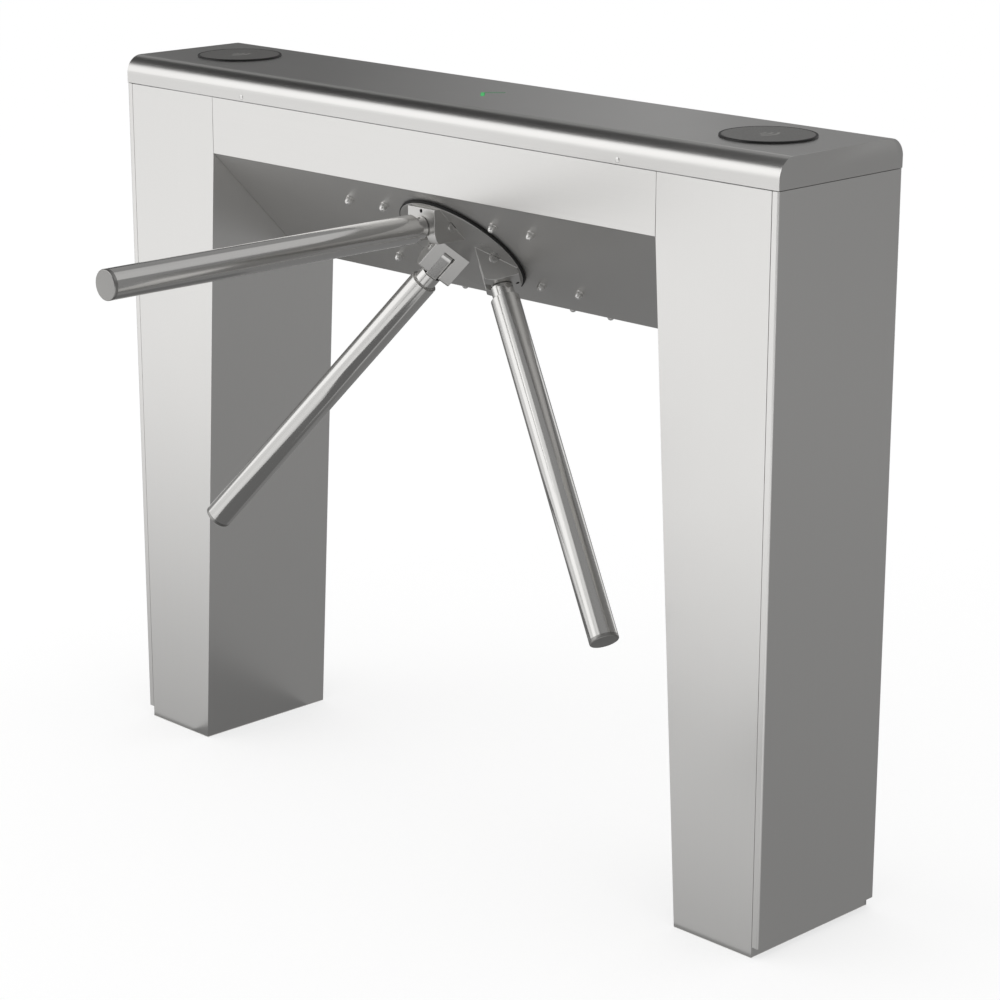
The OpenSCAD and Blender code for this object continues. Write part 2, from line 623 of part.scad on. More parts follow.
// Electronics on the back of the beam
board_x = beam_x - 204;                  // corner of the control board, with its size
board_z = fascia_z - 137;
board_l = 180;
board_h = 168;
board_t = 1.6;
standoff = 8;
supply_x = -beam_x + 20;                 // corner of the power supply, with its size
supply_z = fascia_z - 102;
supply_l = 160;
supply_w = 40;
supply_h = 98;
module board_tray() color(zinc) {
    y = in_y - seat - sheet;
    translate([board_x - 3, y, board_z - 5]) cube([board_l + 6, sheet, board_h + 10]);
    for (x = [board_x + 7, board_x + board_l - 7], z = [board_z + 7, board_z + board_h - 7])
        translate([x, y, z]) rotate([90, 0, 0]) cylinder(r = 3, h = standoff);
}
module control_board() color(board_green) translate([board_x, in_y - seat - sheet - standoff, board_z]) {
    plug = [26, 12, 12];
    chip = [26, 3, 26];
    relay = [34, 17, 26];
    translate([0, -board_t, 0]) cube([board_l, board_t, board_h]);
    for (i = [0:4]) translate([14 + 32 * i, -13, 2]) cube(plug);
    translate([82, -4, 80]) cube(chip);
    for (i = [0:2]) translate([142, -14, 50 + 30 * i]) rotate([-90, 0, 0]) cylinder(r = 7, h = 13);
    translate([18, -18, 110]) cube(relay);
}
module power_supply() color(zinc) translate([supply_x, in_y - seat - supply_w, supply_z]) difference() {
    vent = [9, 3, 4];
    cube([supply_l, supply_w, supply_h]);
    for (i = [0:9], k = [0:3]) translate([12 + 15 * i, -1, 15 + 18 * k]) cube(vent);
}
module terminal_block() color([0.75, 0.75, 0.70]) translate([supply_x, in_y - seat, fascia_z]) {
    clamp = [10, 21.1, 36];
    translate([2, -7, 14]) cube([supply_l - 10, 7, 20]);
    for (i = [0:11]) translate([6 + 12 * i, -28, 6]) cube(clamp);
}

// Outline of the arrow light: two strokes that meet in a point towards -X
module chevron(inset) for (side = [-1, 1]) translate([light_x, 0]) rotate(side * 45)
    translate([-light_w / 2 + inset, -light_w / 2 + inset]) square([light_l - 2 * inset, light_w - 2 * inset]);

// Lid: an inverted pan with rounded long edges and flat ends
module lid_outline(inset) {
    r = lid_round - inset;
    y = hy - inset;
    z = roof_z - inset;
    floor_z = inset > 0 ? lid_z - 1 : lid_z;
    intersection() {
        translate([-y, floor_z]) square([2 * y, z - floor_z]);
        union() {
            translate([-y, floor_z]) square([2 * y, z - r - floor_z]);
            translate([-y + r, floor_z]) square([2 * (y - r), z - floor_z]);
            for (side = [-1, 1]) translate([side * (y - r), z - r]) circle(r, $fn = 96);
        }
    }
}
module lid() color(satin) difference() {
    union() {
        side_plate(-hx, length) difference() {
            lid_outline(0);
            lid_outline(sheet);
        }
        for (x0 = [-hx, hx - sheet]) side_plate(x0, sheet) lid_outline(0);
        mirror_y() translate([-hx + sheet, -in_y - 0.1, lid_z]) cube([length - 2 * sheet, 10, sheet]);
    }
    for (s = [-1, 1]) {
        translate([s * reader_x, 0, roof_z - sheet - 1]) cylinder(r = reader_d / 2 - 4, h = sheet + 2, $fn = 96);
        translate([s * lid_screw_x, -hy - 1, lid_screw_z]) rotate([-90, 0, 0]) cylinder(r = 2, h = sheet + 2);
        translate([s * lid_screw_x - 12, -in_y, lid_z - 1]) cube([24, 12, sheet + 2]);
    }
    translate([0, 0, roof_z - sheet - 1]) linear_extrude(sheet + 2) chevron(0);
}
module lid_screws() color(bright) for (s = [-1, 1]) translate([s * lid_screw_x, 0, lid_screw_z]) {
    translate([0, -hy, 0]) rotate([-90, 0, 0]) cylinder(r = 2, h = 11);
    translate([0, -hy - 2, 0]) rotate([-90, 0, 0]) cylinder(r = 3.5, h = 2);
    translate([0, -in_y + 2 * seat + 2 * post_t, 0]) rotate([-90, 0, 0]) cylinder(r = 3.6, h = 3, $fn = 6);
}

// Lid hinges on the back, along the joint between cabinet and lid
hinge_xs = [-450, 0, 450];
hinge_y = hy + 4.4;
hinge_leaf = [50, 1.6, 22];
hinge_half = hinge_leaf.x / 2;
leaf_gap = 6;                            // from the joint to the edge of each leaf
knuckle_r = 4;
knuckle_half = hinge_half / 2;           // half of the middle knuckle
knuckle_end = hinge_half - knuckle_half - 0.5;  // length of the outer ones
hinge_pin_r = 2;
module knuckle(x0, l) translate([x0, hinge_y, seam_z]) rotate([0, 90, 0]) cylinder(r = knuckle_r, h = l);
module lid_hinge_fixed() color(bright) for (x = hinge_xs) {
    translate([x - hinge_half, hy, seam_z - leaf_gap - hinge_leaf.z]) cube(hinge_leaf);
    for (x0 = [x - hinge_half, x + hinge_half - knuckle_end]) {
        knuckle(x0, knuckle_end);
        translate([x0, hy, seam_z - leaf_gap - 2]) cube([knuckle_end, hinge_leaf.y, leaf_gap + 2]);
        translate([x0, hy + 0.4, seam_z - leaf_gap - 2]) cube([knuckle_end, 3, leaf_gap]);
    }
    translate([x - hinge_half, hinge_y, seam_z]) rotate([0, 90, 0]) cylinder(r = hinge_pin_r, h = hinge_leaf.x);
}
module lid_hinge_moving() color(bright) for (x = hinge_xs) difference() {
    union() {
        translate([x - hinge_half, hy, seam_z + leaf_gap]) cube(hinge_leaf);
        translate([x - knuckle_half, hy, seam_z + 0.5]) cube([2 * knuckle_half, hinge_leaf.y, leaf_gap + 2]);
        translate([x - knuckle_half, hy + 0.4, seam_z + 2]) cube([2 * knuckle_half, 3, leaf_gap]);
        knuckle(x - knuckle_half, 2 * knuckle_half);
    }
    translate([x - hinge_half - 5, hinge_y, seam_z]) rotate([0, 90, 0])
        cylinder(r = hinge_pin_r + run_fit, h = hinge_leaf.x + 10);
}

// Reader windows, their boards and the direction light
module reader_window(s) color(black) translate([s * reader_x, 0, roof_z]) rotate_extrude($fn = 120) {
    r = reader_d / 2;
    polygon([
        [0, -sheet - reader_deep], [r - 4.3, -sheet - reader_deep], [r - 4.3, 0], [r, 0], [r, reader_rise - 1],
        [r - 1, reader_rise], [0, reader_rise]
    ]);
}
module reader_boards() color(board_green)
    for (s = [-1, 1]) translate([s * reader_x, 0, roof_z - sheet - reader_deep - seat]) {
    translate([-38, -38, -1.6]) cube([76, 76, 1.6]);
    translate([-12, -12, -4.4]) cube([24, 24, 3]);
    translate([18, -30, -7.4]) cube([12, 20, 6]);
}
light_span = light_l * root_half + light_w;
module light_window() color([0.75, 0.85, 0.78]) {
    translate([0, 0, roof_z - sheet - 0.5]) linear_extrude(sheet + 0.5) chevron(seat);
    translate([light_x - 9, -light_span - 5, roof_z - sheet - 2.3]) cube([light_span + 14, 2 * light_span + 10, 2]);
}
module light_board() color(board_green) {
    z = roof_z - sheet - 2.6;
    translate([light_x - 11, -light_span - 7, z - 1.6]) cube([light_span + 18, 2 * light_span + 14, 1.6]);
    for (side = [-1, 1], i = [0:2]) translate([light_x, 0, z - 4]) rotate([0, 0, side * 45])
        translate([5 + 9 * i, -2, 0]) cube([4, 4, 2.5]);
}

mirror([1, 0, 0]) leg_shell();  // leg_shell_left
leg_shell();  // leg_shell_right
mirror([1, 0, 0]) end_cover();  // end_cover_left
end_cover();  // end_cover_right
cover_screws();
mirror([1, 0, 0]) base_plate();  // base_plate_left
base_plate();  // base_plate_right
mirror([1, 0, 0]) leg_posts();  // leg_posts_left
leg_posts();  // leg_posts_right
front_fascia();
rear_fascia();
beam_underpanel();
top_rail_front();
top_rail_rear();
cap_nuts();
mechanism_plate();
bearing_housing();
front_bearing();
rear_bearing();
housing_screws();
actuator_plate();
pawl_pivots();
mirror([1, 0, 0]) solenoid();  // solenoid_left
solenoid();  // solenoid_right
position_sensor();
board_tray();
control_board();
power_supply();
terminal_block();
lid_hinge_fixed();
main_shaft();
hub_disc();
hub_band();
hub_screws();
arm_pivot_pins();
arm_root(240);  // arm_root_b
arm_root(120);  // arm_root_c
arm_tube(240);  // arm_tube_b
arm_tube(120);  // arm_tube_c
arm_cap(240);  // arm_cap_b
arm_cap(120);  // arm_cap_c
lock_wheel();
encoder_disc();
shaft_nut();
arm_root(0);  // arm_root_a
arm_tube(0);  // arm_tube_a
arm_cap(0);  // arm_cap_a
mirror([1, 0, 0]) pawl();  // pawl_left
pawl();  // pawl_right
mirror([1, 0, 0]) plunger();  // plunger_left
plunger();  // plunger_right
lid();
lid_screws();
lid_hinge_moving();
reader_window(-1);  // reader_window_left
reader_window(1);  // reader_window_right
reader_boards();
light_window();
light_board();
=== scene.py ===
"""Looks of a bridge-shaped tripod turnstile in satin and polished stainless steel."""

import json
import math

import bmesh
import bpy
from mathutils import Matrix, Vector


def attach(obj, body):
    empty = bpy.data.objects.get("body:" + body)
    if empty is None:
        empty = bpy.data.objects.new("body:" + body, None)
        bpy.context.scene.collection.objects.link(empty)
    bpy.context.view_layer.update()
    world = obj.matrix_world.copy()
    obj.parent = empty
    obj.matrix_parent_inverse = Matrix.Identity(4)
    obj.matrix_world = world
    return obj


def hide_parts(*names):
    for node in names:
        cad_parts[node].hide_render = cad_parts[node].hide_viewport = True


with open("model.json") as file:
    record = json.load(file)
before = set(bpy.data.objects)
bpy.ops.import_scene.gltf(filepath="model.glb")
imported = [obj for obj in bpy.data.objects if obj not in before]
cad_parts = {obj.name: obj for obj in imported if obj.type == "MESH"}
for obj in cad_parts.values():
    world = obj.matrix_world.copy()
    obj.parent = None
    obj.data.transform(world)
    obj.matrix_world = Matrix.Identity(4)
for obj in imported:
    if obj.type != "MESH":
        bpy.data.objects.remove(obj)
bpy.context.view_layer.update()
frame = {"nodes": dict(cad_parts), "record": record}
NODES = frame["nodes"]
BODY_OF = {node: body for body, nodes in frame["record"]["behaviour"]["bodies"].items() for node in nodes}
SLOT_OF = {part["node"]: part["material_slot"] for part in frame["record"]["subparts"]}
MM = 0.001
WHITE = (1, 1, 1, 1)

# Camera, from the vanishing lines of the photograph: a lens of about 105 mm, about 4 m away
LENS_MM = 104.31
SENSOR_MM = 36
CAMERA_PLACE = Vector((2.68719, -2.6079, 1.53858))
CAMERA_AZIMUTH = 45.467
CAMERA_ELEVATION = 16.375
CAMERA_ROLL = 0.046

# Height of the room that the metal mirrors, in metres
ROOM_HIGH = 3.4

# Sizes of the model that the dressed pieces are fitted to, in millimetres
HUB_CENTRE = (0, -32.5, 792)
HUB_RADIUS = 93
HUB_GAP = 0.6
HUB_FACE = 5
BAND_THICK = 1.5
APEX_DEPTH = 47
PIVOT_RADIUS = 54
PIVOT_HEIGHT = 7
BRACKET_RADIUS = 31
BRACKET_TOP = 25.5
BRACKET_HALF = 25
PIN_RADIUS = 4
ARM_RADIUS = 19
ARM_WALL = 1.5
ARM_START = 124.97
ARM_REACH = 612
CAP_LONG = 5
NUT_XS = (-170, -102, 102, 170)
NUT_SLOPE = 63
UNDER_NUT_Y = 70
BEAM_LOW = 712
ROOF = 988
READER_X = 487
READER_RADIUS = 59
READER_RISE = 2.5
LID_SCREW_X = 349
LID_SCREW_Z = 955.85
CABINET_FRONT = -112.5
CABINET_BACK = 112.5
HINGE_XS = (-450, 0, 450)
HINGE_LEAF_THICK = 1.6
SEAM_Z = 950

# Where each arm stands round the hub, in degrees
TURNS = {"a": 0, "b": 240, "c": 120}

# Points closer than this are one, and faces laid on another keep this far off it, in millimetres
WELD = 0.001
CLEAR = 0.02

# Steps round a full turn
DISC_STEPS = 144
TUBE_STEPS = 128
SMALL_STEPS = 32
TINY_STEPS = 24


def metres(*values):
    return Vector(values) * MM


def at(*values):
    return Matrix.Translation(metres(*values))


def rotation(degrees, axis):
    return Matrix.Rotation(math.radians(degrees), 4, axis)


HUB = at(*HUB_CENTRE) @ rotation(135, "X")


def arm_frame(turn):
    """Frame of an arm: Z along it from the point where the three axes meet, X along its pivot."""
    return HUB @ rotation(-turn, "Z") @ at(0, 0, -APEX_DEPTH) @ rotation(-45, "X")


def pivot_frame(turn):
    """Frame of an arm's pivot on the hub: Z along the pin."""
    return HUB @ rotation(-turn, "Z") @ at(0, PIVOT_RADIUS, PIVOT_HEIGHT) @ rotation(90, "Y")


# Nodes of materials


def linear(hex_colour):
    """Linear RGBA of an sRGB hex value."""
    parts = [int(hex_colour[i:i + 2], 16) / 255 for i in (1, 3, 5)]
    return [c / 12.92 if c <= 0.04045 else ((c + 0.055) / 1.055) ** 2.4 for c in parts] + [1]


def grey(level):
    """Linear RGBA of an even grey."""
    return (level, level, level, 1)


def add(material, kind, settings=None):
    """A node of this kind. Settings are its properties, and its inputs as values or as sockets to link."""
    tree = material.node_tree
    node = tree.nodes.new("ShaderNode" + kind)
    for name, value in (settings or {}).items():
        if isinstance(value, bpy.types.NodeSocket):
            tree.links.new(value, node.inputs[name])
        elif isinstance(name, int) or name in node.inputs:
            node.inputs[name].default_value = value
        else:
            setattr(node, name, value)
    return node


def new_material(name):
    material = bpy.data.materials.new(name)
    material.use_nodes = True
    material.node_tree.nodes.clear()
    return material


def finish_material(material, shader):
    add(material, "OutputMaterial", {"Surface": shader.outputs[0]})
    return material


def remap(material, source, low, high, to_low, to_high):
    """The source from low to high, as a number from to_low to to_high."""
    return add(material, "MapRange", {"Value": source, "From Min": low, "From Max": high,
                                      "To Min": to_low, "To Max": to_high}).outputs[0]


def vary(material, noise, low, high):
    """Noise as a number from low to high. Most of it lies between 0.3 and 0.7."""
    return remap(material, noise, 0.3, 0.7, low, high)


def math_node(material, operation, first, second):
    return add(material, "Math", {"operation": operation, 0: first, 1: second}).outputs[0]


def blend_colours(material, factor, first, second):
    """Colour between two, each a linear colour or a socket."""
    return add(material, "Mix", {"data_type": "RGBA", 0: factor, 6: first, 7: second}).outputs[2]


def coordinates(material):
    """Coordinates of the object, in metres."""
    return add(material, "TexCoord").outputs["Object"]


def axis_of(material, axis):
    """One coordinate of the object, in metres."""
    return add(material, "SeparateXYZ", {0: coordinates(material)}).outputs["xyz".index(axis)]


def grain(material, along, width_mm, length_mm, turn):
    """Noise stretched along one axis, as abrasive belts leave it. The axes may be turned."""
    stretch = [width_mm * MM] * 3
    stretch["xyz".index(along)] = length_mm * MM
    mapping = add(material, "Mapping", {"vector_type": "TEXTURE", "Vector": coordinates(material),
                                        "Rotation": turn, "Scale": stretch})
    return add(material, "TexNoise", {"Vector": mapping.outputs[0], "Scale": 1, "Detail": 3,
                                      "Roughness": 0.6}).outputs["Fac"]


def patches(material, size_mm):
    """Soft even noise of this size."""
    return add(material, "TexNoise", {"Vector": coordinates(material), "Scale": 1 / (size_mm * MM),
                                      "Detail": 2}).outputs["Fac"]


def steel(name, colour, roughness, along, width_mm, length_mm, depth_mm, spread, darker=0.93, smudge=0.03,
          turn=(0, 0, 0)):
    """Metal with streaks of grain in its colour, roughness and relief, and with faint handling marks."""
    material = new_material(name)
    streaks = grain(material, along, width_mm, length_mm, turn)
    handled = patches(material, 130)
    rough = vary(material, streaks, roughness - spread, roughness + spread)
    marks = remap(material, handled, 0.35, 0.65, -smudge, smudge)
    pale = linear(colour)
    dark = [c * darker for c in pale[:3]] + [1]
    bump = add(material, "Bump", {"Strength": 0.25, "Distance": depth_mm * MM, "Height": streaks})
    shader = add(material, "BsdfPrincipled", {
        "Base Color": blend_colours(material, streaks, dark, pale), "Metallic": 1,
        "Roughness": math_node(material, "ADD", rough, marks), "Normal": bump.outputs[0]})
    return finish_material(material, shader)


def satin(name, along, colour="#E6E5E3", roughness=0.3):
    """Belt-ground sheet. The real grain is far finer than a pixel, so it is drawn coarser to show."""
    return steel(name, colour, roughness, along, width_mm=1.5, length_mm=500, depth_mm=0.001, spread=0.015,
                 darker=0.97, smudge=0.01)


def polished_tube(name, turn):
    """Drawn tube, polished along its own length. Its marks too are drawn coarser than they are."""
    return steel(name, "#D4D3D1", 0.15, "z", width_mm=2.0, length_mm=90, depth_mm=0.002, spread=0.02,
                 turn=arm_frame(turn).to_euler())


def machined(name, colour, roughness):
    """Small turned or pressed part, with its tool marks drawn coarser than they are."""
    return steel(name, colour, roughness, "x", width_mm=0.8, length_mm=3, depth_mm=0.002, spread=0.03)


def moulded(name, colour, roughness, size_mm=0.8, depth_mm=0.03):
    """Moulded plastic, rubber or paint with a fine texture."""
    material = new_material(name)
    texture = patches(material, size_mm)
    rough = vary(material, texture, roughness - 0.05, roughness + 0.05)
    bump = add(material, "Bump", {"Strength": 0.3, "Distance": depth_mm * MM, "Height": texture})
    shader = add(material, "BsdfPrincipled", {
        "Base Color": linear(colour), "Roughness": rough, "Normal": bump.outputs[0]})
    return finish_material(material, shader)


def circuit_board(name, axis, split_mm):
    """Glass-epoxy board under green resist with copper tracks. Below split_mm are its black parts."""
    track_pitch = 9
    material = new_material(name)
    parts = math_node(material, "LESS_THAN", axis_of(material, axis), split_mm * MM)
    tracks = add(material, "TexBrick", {
        "Vector": coordinates(material), "Scale": 1 / (track_pitch * MM), "Mortar Size": 0.06,
        "Brick Width": 1.9, "Row Height": 0.35, "Color1": linear("#14603A"), "Color2": linear("#125634"),
        "Mortar": linear("#2C8A58")})
    colour = blend_colours(material, parts, tracks.outputs["Color"], linear("#1B1C1E"))
    shader = add(material, "BsdfPrincipled", {"Base Color": colour, "Roughness": 0.35})
    return finish_material(material, shader)


def arrow_light(name):
    """Diffusing green lens over a row of diodes; the stroke nearest the walkway glows more."""
    material = new_material(name)
    near = remap(material, axis_of(material, "y"), -0.002, 0.002, 0.6, 0.15)
    mottle = vary(material, patches(material, 5), 0.7, 1.1)
    shader = add(material, "BsdfPrincipled", {
        "Base Color": linear("#2B7A4C"), "Roughness": 0.3, "Emission Color": linear("#19C45A"),
        "Emission Strength": math_node(material, "MULTIPLY", mottle, near)})
    return finish_material(material, shader)


# After the colour comes the roughness. For steel, then the axis of its grain, the grain's width, length and
# depth in millimetres, the spread of its roughness, how dark its streaks are and how much handling shows. For
# a moulded part, then the size and depth of its texture. Whatever is finer than a pixel is drawn coarser.
MATERIALS = {
    # Stainless sheet, belt-ground: a soft sheen in streaks along the sheet
    "satin_upright": satin("satin_stainless_upright", "z"),
    "satin_level": satin("satin_stainless_level", "x"),
    # The lid's sheet: the same satin grain and about the same roughness, a shade darker in colour
    "lid_sheet": satin("darker_satin_stainless", "x", "#DBDAD8", 0.31),
    # Buffed stainless of the sloping panel: a blurred mirror
    "panel": steel("buffed_stainless", "#D2D1CF", 0.36, "x", 2.0, 300, 0.0002, 0.004, 0.99, 0.01),
    # Rotor disc, polished in short strokes
    "hub": steel("polished_stainless_hub", "#D2D1CF", 0.3, "x", 1.5, 20, 0.0005, 0.02),
    "tube": polished_tube("polished_tube_upper", TURNS["a"]),
    "tube_b": polished_tube("polished_tube_left", TURNS["b"]),
    "tube_c": polished_tube("polished_tube_right", TURNS["c"]),
    # End caps, turned and left a little duller than the tubes
    "cap": machined("turned_cap_steel", "#A2A19F", 0.34),
    # Pins and hinges, polished
    "bright": machined("bright_turned_steel", "#D4D3D1", 0.24),
    # Domed nuts of passivated stainless, a little paler and softer
    "nut": machined("passivated_nut_steel", "#E6E5E3", 0.34),
    # Blue-white zinc on posts, rails, plates and screws, slightly mottled
    "zinc": steel("zinc_plated_steel", "#AEB1B6", 0.42, "x", 3, 9, 0.02, 0.06, 0.88),
    # Ground shaft, bearings, pivots and plungers
    "ground": steel("ground_steel", "#BDBDBE", 0.25, "x", 0.5, 4, 0.006, 0.04),
    # Heat-treated wheel and pawls, darker and a little blotched
    "hardened": steel("hardened_steel", "#77777A", 0.38, "x", 1.5, 4, 0.01, 0.05, 0.8),
    # Sand-cast aluminium with its grainy skin
    "aluminium": steel("cast_aluminium", "#A9ABAD", 0.5, "x", 1.5, 2, 0.06, 0.06, 0.85),
    # Black coat on coils and stop screws, and black mouldings
    "black_coat": moulded("black_coated_steel", "#161616", 0.45),
    "black_plastic": moulded("black_abs", "#141414", 0.4),
    "rubber": moulded("black_rubber", "#070707", 0.65, 0.5),
    # Smoked acrylic: grey, softly glossy and nearly opaque, with pale printed arcs
    "smoked": moulded("smoked_acrylic", "#636260", 0.34, 2.0, 0.002),
    "mark": moulded("pale_screen_ink", "#92918E", 0.4, 0.3, 0.002),
    "lens": arrow_light("green_light_lens"),
    # Boards: the black parts lie in front of y = 98.6 mm or below z = 978 mm, and the sensor has none
    "board": circuit_board("control_board_laminate", "y", 98.6),
    "sensor_board": circuit_board("sensor_laminate", "z", 0),
    "small_board": circuit_board("reader_board_laminate", "z", 978),
    "terminal": moulded("grey_nylon", "#B4B8B4", 0.4),
}
SLOT_LOOK = {
    "satin_steel": "satin_upright", "polished_steel": "panel", "tube_steel": "tube", "cap_steel": "cap",
    "bright_steel": "bright", "zinc_steel": "zinc", "ground_steel": "ground", "hardened_steel": "hardened",
    "cast_aluminium": "aluminium", "casing_aluminium": "aluminium", "coil_black": "black_coat",
    "black_plastic": "black_plastic", "black_rubber": "rubber", "reader_plastic": "smoked",
    "lens_plastic": "lens", "board_green": "board", "terminal_plastic": "terminal",
}
# Nodes whose look isn't that of their slot. The base plates show a satin edge under the end covers.
LOOK_OF = {
    "front_fascia": "satin_level", "rear_fascia": "satin_level", "lid": "lid_sheet", "hub_disc": "hub",
    "base_plate_left": "satin_level", "base_plate_right": "satin_level", "cap_nuts": "nut",
    "arm_tube_b": "tube_b", "arm_tube_c": "tube_c",
    "reader_boards": "small_board", "light_board": "small_board", "position_sensor": "sensor_board",
}


def look(node):
    return LOOK_OF.get(node) or SLOT_LOOK[SLOT_OF[node]]


for node in NODES:
    mesh = NODES[node].data
    mesh.materials.clear()
    mesh.materials.append(MATERIALS[look(node)])


# Pieces


def piece(name, bm, node, look_name, replaces=True, sharp_angle=30):
    """Object of the bmesh that rides with the node, takes the given look, and replaces it or lies on it."""
    mesh = bpy.data.meshes.new(name)
    bm.to_mesh(mesh)
    bm.free()
    for polygon in mesh.polygons:
        polygon.use_smooth = True
    mesh.materials.append(MATERIALS[look_name])
    keep_sharp(mesh, sharp_angle)
    item = bpy.data.objects.new(name, mesh)
    bpy.context.scene.collection.objects.link(item)
    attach(item, BODY_OF[node])
    if replaces:
        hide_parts(node)
    return item


def keep_sharp(mesh, angle):
    """Edges of more than this angle stay crisp under smooth shading."""
    bm = bmesh.new()
    bm.from_mesh(mesh)
    for edge in bm.edges:
        edge.smooth = len(edge.link_faces) == 2 and edge.calc_face_angle() < math.radians(angle)
    bm.to_mesh(mesh)
    bm.free()


def eased(node, width_mm, shortest_mm=4.0):
    """The node's own shape with small rounded edges that catch the light, as deburred parts have."""
    flat_within = math.radians(0.3)
    edge_above = math.radians(30)
    bm = bmesh.new()
    bm.from_mesh(NODES[node].data)
    bmesh.ops.remove_doubles(bm, verts=bm.verts, dist=WELD * MM)
    bmesh.ops.dissolve_limit(bm, angle_limit=flat_within, verts=bm.verts, edges=bm.edges,
                             use_dissolve_boundaries=False)
    edges = [edge for edge in bm.edges if len(edge.link_faces) == 2
             and edge.calc_length() > shortest_mm * MM and edge.calc_face_angle() > edge_above]
    bmesh.ops.bevel(bm, geom=edges, offset=width_mm * MM, offset_type="OFFSET", affect="EDGES", segments=2,
                    profile=0.5, material=-1)
    flat_faces(piece(node + "_eased", bm, node, look(node), sharp_angle=50))


def flat_faces(item):
    """Large faces keep their own direction, so that only the eased edges between them look round."""
    weighted = item.modifiers.new("flat_faces", "WEIGHTED_NORMAL")
    weighted.mode = "FACE_AREA"
    weighted.weight = 100
    weighted.keep_sharp = True


def add_copies(bm, part, places):
    """Adds the part to the bmesh at each place, and frees it."""
    bmesh.ops.remove_doubles(part, verts=part.verts, dist=WELD * MM)
    bmesh.ops.recalc_face_normals(part, faces=part.faces)
    for place in places:
        mesh = bpy.data.meshes.new("copy")
        part.to_mesh(mesh)
        mesh.transform(place)
        bm.from_mesh(mesh)
        bpy.data.meshes.remove(mesh)
    part.free()


def revolve(bm, profile, places, steps):
    """Turns a closed profile of (radius, height) points in millimetres about the Z axis of each place."""
    part = bmesh.new()
    corners = [part.verts.new(metres(radius, 0, height)) for radius, height in profile]
    edges = [part.edges.new((a, b)) for a, b in zip(corners, corners[1:] + corners[:1])
             if a.co.x > 0 or b.co.x > 0]
    bmesh.ops.spin(part, geom=corners + edges, cent=(0, 0, 0), axis=(0, 0, 1), angle=math.tau, steps=steps,
                   use_merge=True)
    add_copies(bm, part, places)


def turned(name, profile, places, steps, node, look_name, replaces=True):
    """One piece of the same turned shape at each place."""
    bm = bmesh.new()
    revolve(bm, profile, places, steps)
    piece(name, bm, node, look_name, replaces)


def corner(radius, height, size, steps=4):
    """Points of a quarter round, from its outer side to its top, with its centre at (radius, height)."""
    angles = [math.radians(90 * i / steps) for i in range(steps + 1)]
    return [(radius + size * math.cos(angle), height + size * math.sin(angle)) for angle in angles]


def sheet_metal():
    """Sheets and machined parts keep their shape, with deburred edges."""
    for side in ("left", "right"):
        eased("leg_shell_" + side, 0.4)
        eased("end_cover_" + side, 0.4)
        eased("base_plate_" + side, 0.5)
    for node in ("front_fascia", "rear_fascia", "beam_underpanel"):
        eased(node, 0.4)
    eased("lid", 0.6)
    for node in ("lid_hinge_fixed", "lid_hinge_moving"):
        eased(node, 0.3)
    eased("light_window", 0.2)


def rotor():
    """Disc, black band, pivot pins with low heads, and a stop screw in each bracket."""
    eased("hub_disc", 0.5, 0.8)
    rounding = 0.6
    rim = HUB_RADIUS + BAND_THICK
    band_top = HUB_FACE - 0.8
    band = ([(HUB_RADIUS, HUB_GAP), (rim, HUB_GAP)] + corner(rim - rounding, band_top - 1, rounding)
            + [(HUB_RADIUS, band_top)])
    turned("hub_black_band", band, [HUB], DISC_STEPS, "hub_band", "rubber")

    head_radius = PIN_RADIUS + 2.5
    head_high = 1.5
    head = ([(0, 0), (head_radius, 0)] + corner(head_radius - rounding, head_high - rounding, rounding)
            + [(0, head_high)])
    stem = [(0, -2 * BRACKET_HALF), (PIN_RADIUS, -2 * BRACKET_HALF), (PIN_RADIUS, 0), (0, 0)]
    pins = [pivot_frame(turn) for turn in TURNS.values()]
    near_ends = [pin @ at(0, 0, BRACKET_HALF) for pin in pins]
    far_ends = [pin @ rotation(180, "X") @ at(0, 0, BRACKET_HALF) for pin in pins]
    bm = bmesh.new()
    revolve(bm, head, near_ends + far_ends, SMALL_STEPS)
    revolve(bm, stem, near_ends, SMALL_STEPS)
    piece("pivot_pin_heads", bm, "arm_pivot_pins", "bright")

    # Dark screws, each with a round recess, in the sloping face of the bracket
    screw = [(0, 0), (2.4, 0), (2.4, 1.6), (2.1, 1.9), (1.2, 1.9), (1.2, 0.5), (0, 0.5)]
    screw_place = rotation(135, "Z") @ at(BRACKET_RADIUS - 3.4, 4 - BRACKET_TOP, 0) @ rotation(90, "Y")
    turned("stop_screws", screw, [pin @ screw_place for pin in pins], TINY_STEPS, "hub_disc", "black_coat",
           replaces=False)


def arms():
    """Each arm is its root, a polished tube and a rounded end cap with a short plug."""
    inner = ARM_RADIUS - ARM_WALL
    tube_end = ARM_REACH - CAP_LONG
    chamfer = 0.5
    tube = [(inner, ARM_START), (ARM_RADIUS - chamfer, ARM_START), (ARM_RADIUS, ARM_START + chamfer),
            (ARM_RADIUS, tube_end), (inner, tube_end)]
    plug = inner - 0.1
    plug_end = tube_end - 3
    cap_start = tube_end + CLEAR
    rounding = 1.5
    cap = ([(0, plug_end), (plug, plug_end), (plug, cap_start), (ARM_RADIUS, cap_start)]
           + corner(ARM_RADIUS - rounding, ARM_REACH - rounding, rounding, 6) + [(0, ARM_REACH)])
    for name, turn in TURNS.items():
        eased("arm_root_" + name, 0.6, 0.8)
        places = [arm_frame(turn)]
        node = "arm_tube_" + name
        turned("polished_tube_" + name, tube, places, TUBE_STEPS, node, look(node))
        node = "arm_cap_" + name
        turned("tube_end_cap_" + name, cap, places, TUBE_STEPS, node, look(node))


